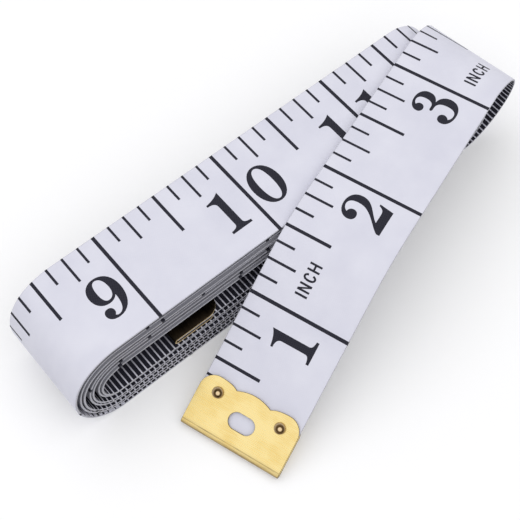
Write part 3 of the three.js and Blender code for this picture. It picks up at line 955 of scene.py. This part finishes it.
def clipBlank():
    wide, deep = clip["width"] / 2, clipCut["deep"]
    blank = prism("clipBlank", clipProfile(), -wide, wide, (0, 2, 1))
    kept = prism("clipOutline", clipOutline(), -deep, deep, (0, 1, 2))
    holes = [prism("clipHole", outline, -deep, deep, (0, 1, 2)) for outline in clipHoles()]
    for other, operation in [(kept, "INTERSECT")] + [(hole, "DIFFERENCE") for hole in holes]:
        cutter = blank.modifiers.new("cut", "BOOLEAN")
        cutter.object, cutter.operation, cutter.solver = other, operation, "EXACT"
    soften = blank.modifiers.new("soften", "BEVEL")
    soften.width, soften.segments, soften.limit_method = clip["bevel"], clipCut["bevelSteps"], "ANGLE"
    soften.angle_limit = math.radians(clipCut["bevelAngle"])
    soften.loop_slide = False
    made = bpy.data.meshes.new_from_object(blank.evaluated_get(bpy.context.evaluated_depsgraph_get()))
    for shape in (blank, kept, *holes):
        bpy.data.objects.remove(shape)
    return [v.co.copy() for v in made.vertices], [list(f.vertices) for f in made.polygons]


# a turned shape with the same dished head at both ends
def rivetShape():
    seat = clipOuter + rivet["seatGap"] - rivet["seatSink"]
    top = clipOuter + rivet["seatGap"] + rivet["height"]
    head, sides = rivet["head"], rivet["sides"]
    upper = [(rivet["shank"], seat)] + [(head * r, seat + z) for r, z in rivet["rim"]]
    upper += [(head * r, top - z) for r, z in rivet["dish"]]
    profile = [(r, -z) for r, z in reversed(upper)] + upper
    points = [Vector((r * math.cos(2 * math.pi * k / sides), r * math.sin(2 * math.pi * k / sides), z))
              for r, z in profile for k in range(sides)]
    last = (len(profile) - 1) * sides
    faces = []
    for row in range(0, last, sides):
        for k in range(sides):
            a, b = row + k, row + (k + 1) % sides
            faces.append([a, b, b + sides, a + sides])
    faces += [list(reversed(range(sides))), [last + k for k in range(sides)]]
    return points, faces


# where each clip sits: the fold's outer end in the middle of the tape, along it, away from it
def clipFrames():
    middle, step = width / 2, 10.0
    zero = tapePoint(0, middle, 0)
    along = (tapePoint(step, middle, 0) - zero).normalized()
    up = (tapePoint(0, middle, 1) - zero).normalized()
    tail = tapePoint(tapeLength, middle, 0)
    inward = (tapePoint(tapeLength - step, middle, 0) - tail).normalized()
    core = -(tapePoint(tapeLength, middle, 1) - tail).normalized()
    return {"zero_end": ("tip", zero, along, up),
            "inner_end": ("roll", tail - inward * clipOuter * mm, inward, core)}


def standing(points, origin, along, across, up):
    return [origin + (along * p.x + across * p.y + up * p.z) * mm for p in points]


blankPoints, blankFaces = clipBlank()
rivetPoints, rivetFaces = rivetShape()
# a rivet's third place value is how far out on the head a point lies, counted from a point a little off
# centre where the painted highlight sits
highlightShiftX, highlightShiftY = rivet["highlightShift"]
rivetPlaces = [(p.x, p.y, math.hypot(p.x + highlightShiftX, p.y + highlightShiftY) / rivet["head"]) for p in rivetPoints]
for end, (body, origin, along, up) in clipFrames().items():
    across = up.cross(along).normalized()
    up = along.cross(across)
    points = standing(blankPoints, origin, along, across, up)
    piece = newPiece("clip_" + end, points, blankFaces, [tuple(p) for p in blankPoints], "clipPlace",
                     buildBrass(end, False), clipCut["sharp"])
    piece.data.materials.append(buildBrass(end, True))
    for face in piece.data.polygons:  # the sheared edges of the sheet
        reach = (face.center / mm - origin / mm).dot(along)
        lies = abs(face.normal.dot(up)) > clipCut["flatFrom"]
        rolled = abs(face.normal.dot(across)) < clipCut["rolledTo"] and reach < 2 * clipOuter
        face.material_index = 0 if lies or rolled else 1
    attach(piece, body)
    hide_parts(end + "_clip")
    for number, y in ((1, -rivetSpread), (2, rivetSpread)):
        moved = [p + Vector((rivetReach, y, 0)) for p in rivetPoints]
        head = newPiece("rivet_%s_%d" % (end, number), standing(moved, origin, along, across, up),
                        rivetFaces, rivetPlaces, "clipPlace", rivetBrass, rivet["sharp"])
        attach(head, body)
        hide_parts("%s_rivet_%d" % (end, number))
print("clips and rivets made")


# what the rigid cloth and printed pieces move with, and which solids the pieces stand for; the bent pieces
# are only fixed where they lie
rigid = {"roll": "roll", "free": "free_end", "tip": "tip"}
standsFor = {"roll": "tape_winding", "fold_1": "tape_fold_1", "fold_2": "tape_fold_2",
             "free": "tape_free_end", "tip": "tape_tip"}


def bendLine(zone):
    if zone == "droop":
        return tapePoint(droopStart, width / 2, 0), tapePoint(droopEnd, width / 2, 0)
    low = (int(zone[-1]) - 1) * foldStep
    return tuple((foldPoint(u, -width / 2, 0) + frameShift) * mm for u in (low, low + foldStep))


floorName = "tableTop"
for zone, piece in clothPieces.items():
    marks = printPieces[zone]
    for each in (piece, marks):
        if zone in rigid:
            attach(each, rigid[zone])
        else:
            start, end = bendLine(zone)
            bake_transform(each)
    if zone in standsFor:
        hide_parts(standsFor[zone])
print("pieces tied to their bodies")


# table, light and backdrop
studio = {"table": (0.86, 0.86, 0.87), "tableHalf": 3.0, "tableDrop": 0.0001, "tableRough": 0.9,
          "tableSpecular": 0.1, "tableGlow": 0.15, "sky": 0.42, "panel": 0.9, "panelSize": 3.0,
          "panelPlace": (-0.25, -0.1, 1.2)}


# rays that should meet plain white: straight to the camera, or off metal
def seenRays(tree):
    light = tree.nodes.new("ShaderNodeLightPath")
    seen = mathNode(tree, "MAXIMUM", light.outputs["Is Camera Ray"], light.outputs["Is Glossy Ray"])
    return mathNode(tree, "MAXIMUM", seen, light.outputs["Is Transmission Ray"])


def buildTable():
    mesh = bpy.data.meshes.new(floorName)
    far, low = studio["tableHalf"], -studio["tableDrop"]
    corners = [(x * far, y * far, low) for x, y in ((-1, -1), (1, -1), (1, 1), (-1, 1))]
    mesh.from_pydata(corners, [], [(0, 1, 2, 3)])
    table = bpy.data.objects.new(floorName, mesh)
    scene.collection.objects.link(table)
    material, tree, shader = newFinish("paleTable")
    shader.inputs["Base Color"].default_value = (*studio["table"], 1)
    shader.inputs["Roughness"].default_value = studio["tableRough"]
    shader.inputs["Specular IOR Level"].default_value = studio["tableSpecular"]
    shader.inputs["Emission Color"].default_value = (1, 1, 1, 1)
    glow = product(tree, seenRays(tree), studio["tableGlow"])
    tree.links.new(glow, shader.inputs["Emission Strength"])
    mesh.materials.append(material)


def buildLight():
    world = bpy.data.worlds.new("studioSky")
    scene.world = world
    world.use_nodes = True
    tree = world.node_tree
    level = mathNode(tree, "MULTIPLY_ADD", seenRays(tree), 1 - studio["sky"], studio["sky"])
    tree.links.new(level, tree.nodes["Background"].inputs["Strength"])
    tree.nodes["Background"].inputs["Color"].default_value = (1, 1, 1, 1)
    data = bpy.data.lights.new("ceilingPanel", "AREA")
    data.size = studio["panelSize"]
    data.energy = studio["panel"] * math.pi * data.size ** 2
    panel = bpy.data.objects.new("ceilingPanel", data)
    panel.location = studio["panelPlace"]
    panel.visible_glossy = False  # metal shows the white backdrop alone
    scene.collection.objects.link(panel)


buildTable()
buildLight()
scene.view_settings.view_transform = "Standard"
print("table and lamps set")
